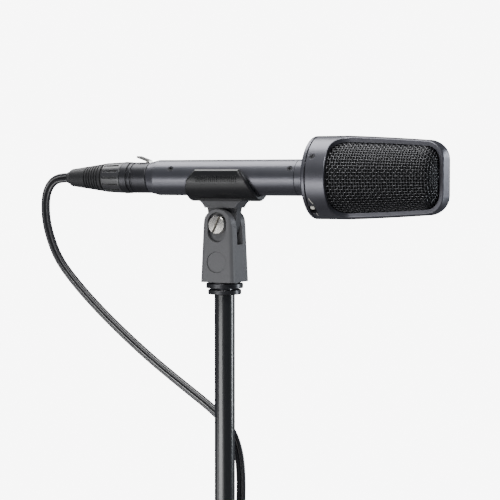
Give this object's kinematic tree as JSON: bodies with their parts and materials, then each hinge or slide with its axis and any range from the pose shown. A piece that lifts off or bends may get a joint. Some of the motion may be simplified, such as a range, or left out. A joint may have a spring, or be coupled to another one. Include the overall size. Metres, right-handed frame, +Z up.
{
  "type": "ribbon microphone",
  "caption": "Slim-handled stereo microphone with a woven-mesh head, held level in a tilting stand clip on a tube, with its cable plug and twin lead.",
  "frame": {"origin": "centre of the stand tube's lower end, where the rest of the stand holds it", "axes": "+Z up the tube, +X along the microphone towards its head, -Y the front with the screws and the low-cut switch"},
  "size_m": [0.2636, 0.05, 0.3636],
  "materials": {
    "dark_satin_metal": "satin dark grey powder finish",
    "dark_screw": "blackened",
    "mesh_wire": "black woven wire, semi-gloss",
    "screen_cloth": "matte black cloth",
    "magnet": "dull grey",
    "pole_steel": "machined",
    "magnet_can": "drawn can",
    "brass_clamp": "machined",
    "ribbon_foil": "thin folded foil",
    "motor_plate": "machined",
    "soft_rubber": "soft matte",
    "black_insulator": "moulded",
    "gold_contact": "gold plated",
    "circuit_board": "green lacquer",
    "component_plastic": "moulded",
    "wire_jacket": "insulated wire",
    "plug_metal": "black satin",
    "plug_bushing_plastic": "moulded",
    "boot_rubber": "matte",
    "nickel": "satin nickel",
    "nickel_cream": "cream moulded",
    "clevis_plastic": "matte grey moulded",
    "holder_plastic": "black satin moulded",
    "dark_ring": "satin",
    "gloss_black_tube": "gloss black",
    "lead_jacket": "glossy flexible jacket",
    "tie_fabric": "hook and loop strap"
  },
  "bodies": {
    "stand": {"stand_tube": "gloss_black_tube", "stand_stud": "pole_steel", "stand_lock_ring": "dark_ring", "stand_end_plug": "black_insulator"},
    "clip_base": {"clip_clevis": "clevis_plastic", "clip_thread_insert": "dark_ring", "clip_pivot_nut": "nickel", "lead_left": "lead_jacket", "lead_right": "lead_jacket", "lead_tie": "tie_fabric", "left_plug_shell": "plug_metal", "left_plug_insert": "black_insulator", "left_plug_pins": "gold_contact", "left_plug_boot": "boot_rubber", "right_plug_shell": "plug_metal", "right_plug_insert": "black_insulator", "right_plug_pins": "gold_contact", "right_plug_boot": "boot_rubber"},
    "clip_holder": {"clip_holder": "holder_plastic"},
    "pivot_screw": {"clip_pivot_screw": "nickel"},
    "microphone": {"head_frame": "dark_satin_metal", "head_rear_cap": "dark_satin_metal", "head_screws": "dark_screw", "front_mesh": "mesh_wire", "rear_mesh": "mesh_wire", "fine_screen": "screen_cloth", "motor_magnets": "magnet", "pole_pieces": "pole_steel", "ribbon_clamps": "brass_clamp", "ribbon_rear": "ribbon_foil", "ribbon_front": "ribbon_foil", "motor_plates": "motor_plate", "motor_pillars": "brass_clamp", "shock_mounts": "soft_rubber", "switch_body": "black_insulator", "handle_tube": "dark_satin_metal", "neck_sleeve": "dark_satin_metal", "handle_screws": "dark_screw", "socket_insert": "black_insulator", "socket_pins": "gold_contact", "preamp_board": "circuit_board", "board_carriers": "black_insulator", "board_components": "component_plastic", "transformers": "magnet_can", "wire_loom": "wire_jacket", "plug_shell": "plug_metal", "plug_insert": "black_insulator", "plug_contacts": "gold_contact", "plug_bushing": "plug_bushing_plastic", "plug_chuck": "black_insulator", "plug_boot": "boot_rubber"},
    "low_cut_switch": {"switch_nub": "nickel_cream"},
    "plug_latch": {"plug_latch": "nickel"}
  },
  "joints": [
    {"name": "clip_swivel", "type": "hinge", "parent": "stand", "child": "clip_base", "pos_m": [0, 0, 0.272], "axis": [0, 0, 1], "range_deg": [-180, 180]},
    {"name": "clip_tilt", "type": "hinge", "parent": "clip_base", "child": "clip_holder", "pos_m": [0, 0, 0.3127], "axis": [0, -1, 0], "range_deg": [-45, 75], "deforming": ["lead_left", "lead_right"]},
    {"name": "pivot_screw_turn", "type": "hinge", "parent": "clip_base", "child": "pivot_screw", "pos_m": [0, 0, 0.3127], "axis": [0, -1, 0], "range_deg": [-180, 180]},
    {"name": "microphone_roll", "type": "hinge", "parent": "clip_holder", "child": "microphone", "pos_m": [0, 0, 0.34], "axis": [1, 0, 0], "range_deg": [-90, 90]},
    {"name": "low_cut_slide", "type": "hinge", "parent": "microphone", "child": "low_cut_switch", "pos_m": [0.0632, 0, 0.34], "axis": [1, 0, 0], "range_deg": [0, 7]},
    {"name": "latch_press", "type": "hinge", "parent": "microphone", "child": "plug_latch", "pos_m": [-0.0504, 0, 0.3489], "axis": [0, -1, 0], "range_deg": [0, 8], "stiffness_Nm_per_rad": 0.27}
  ]
}
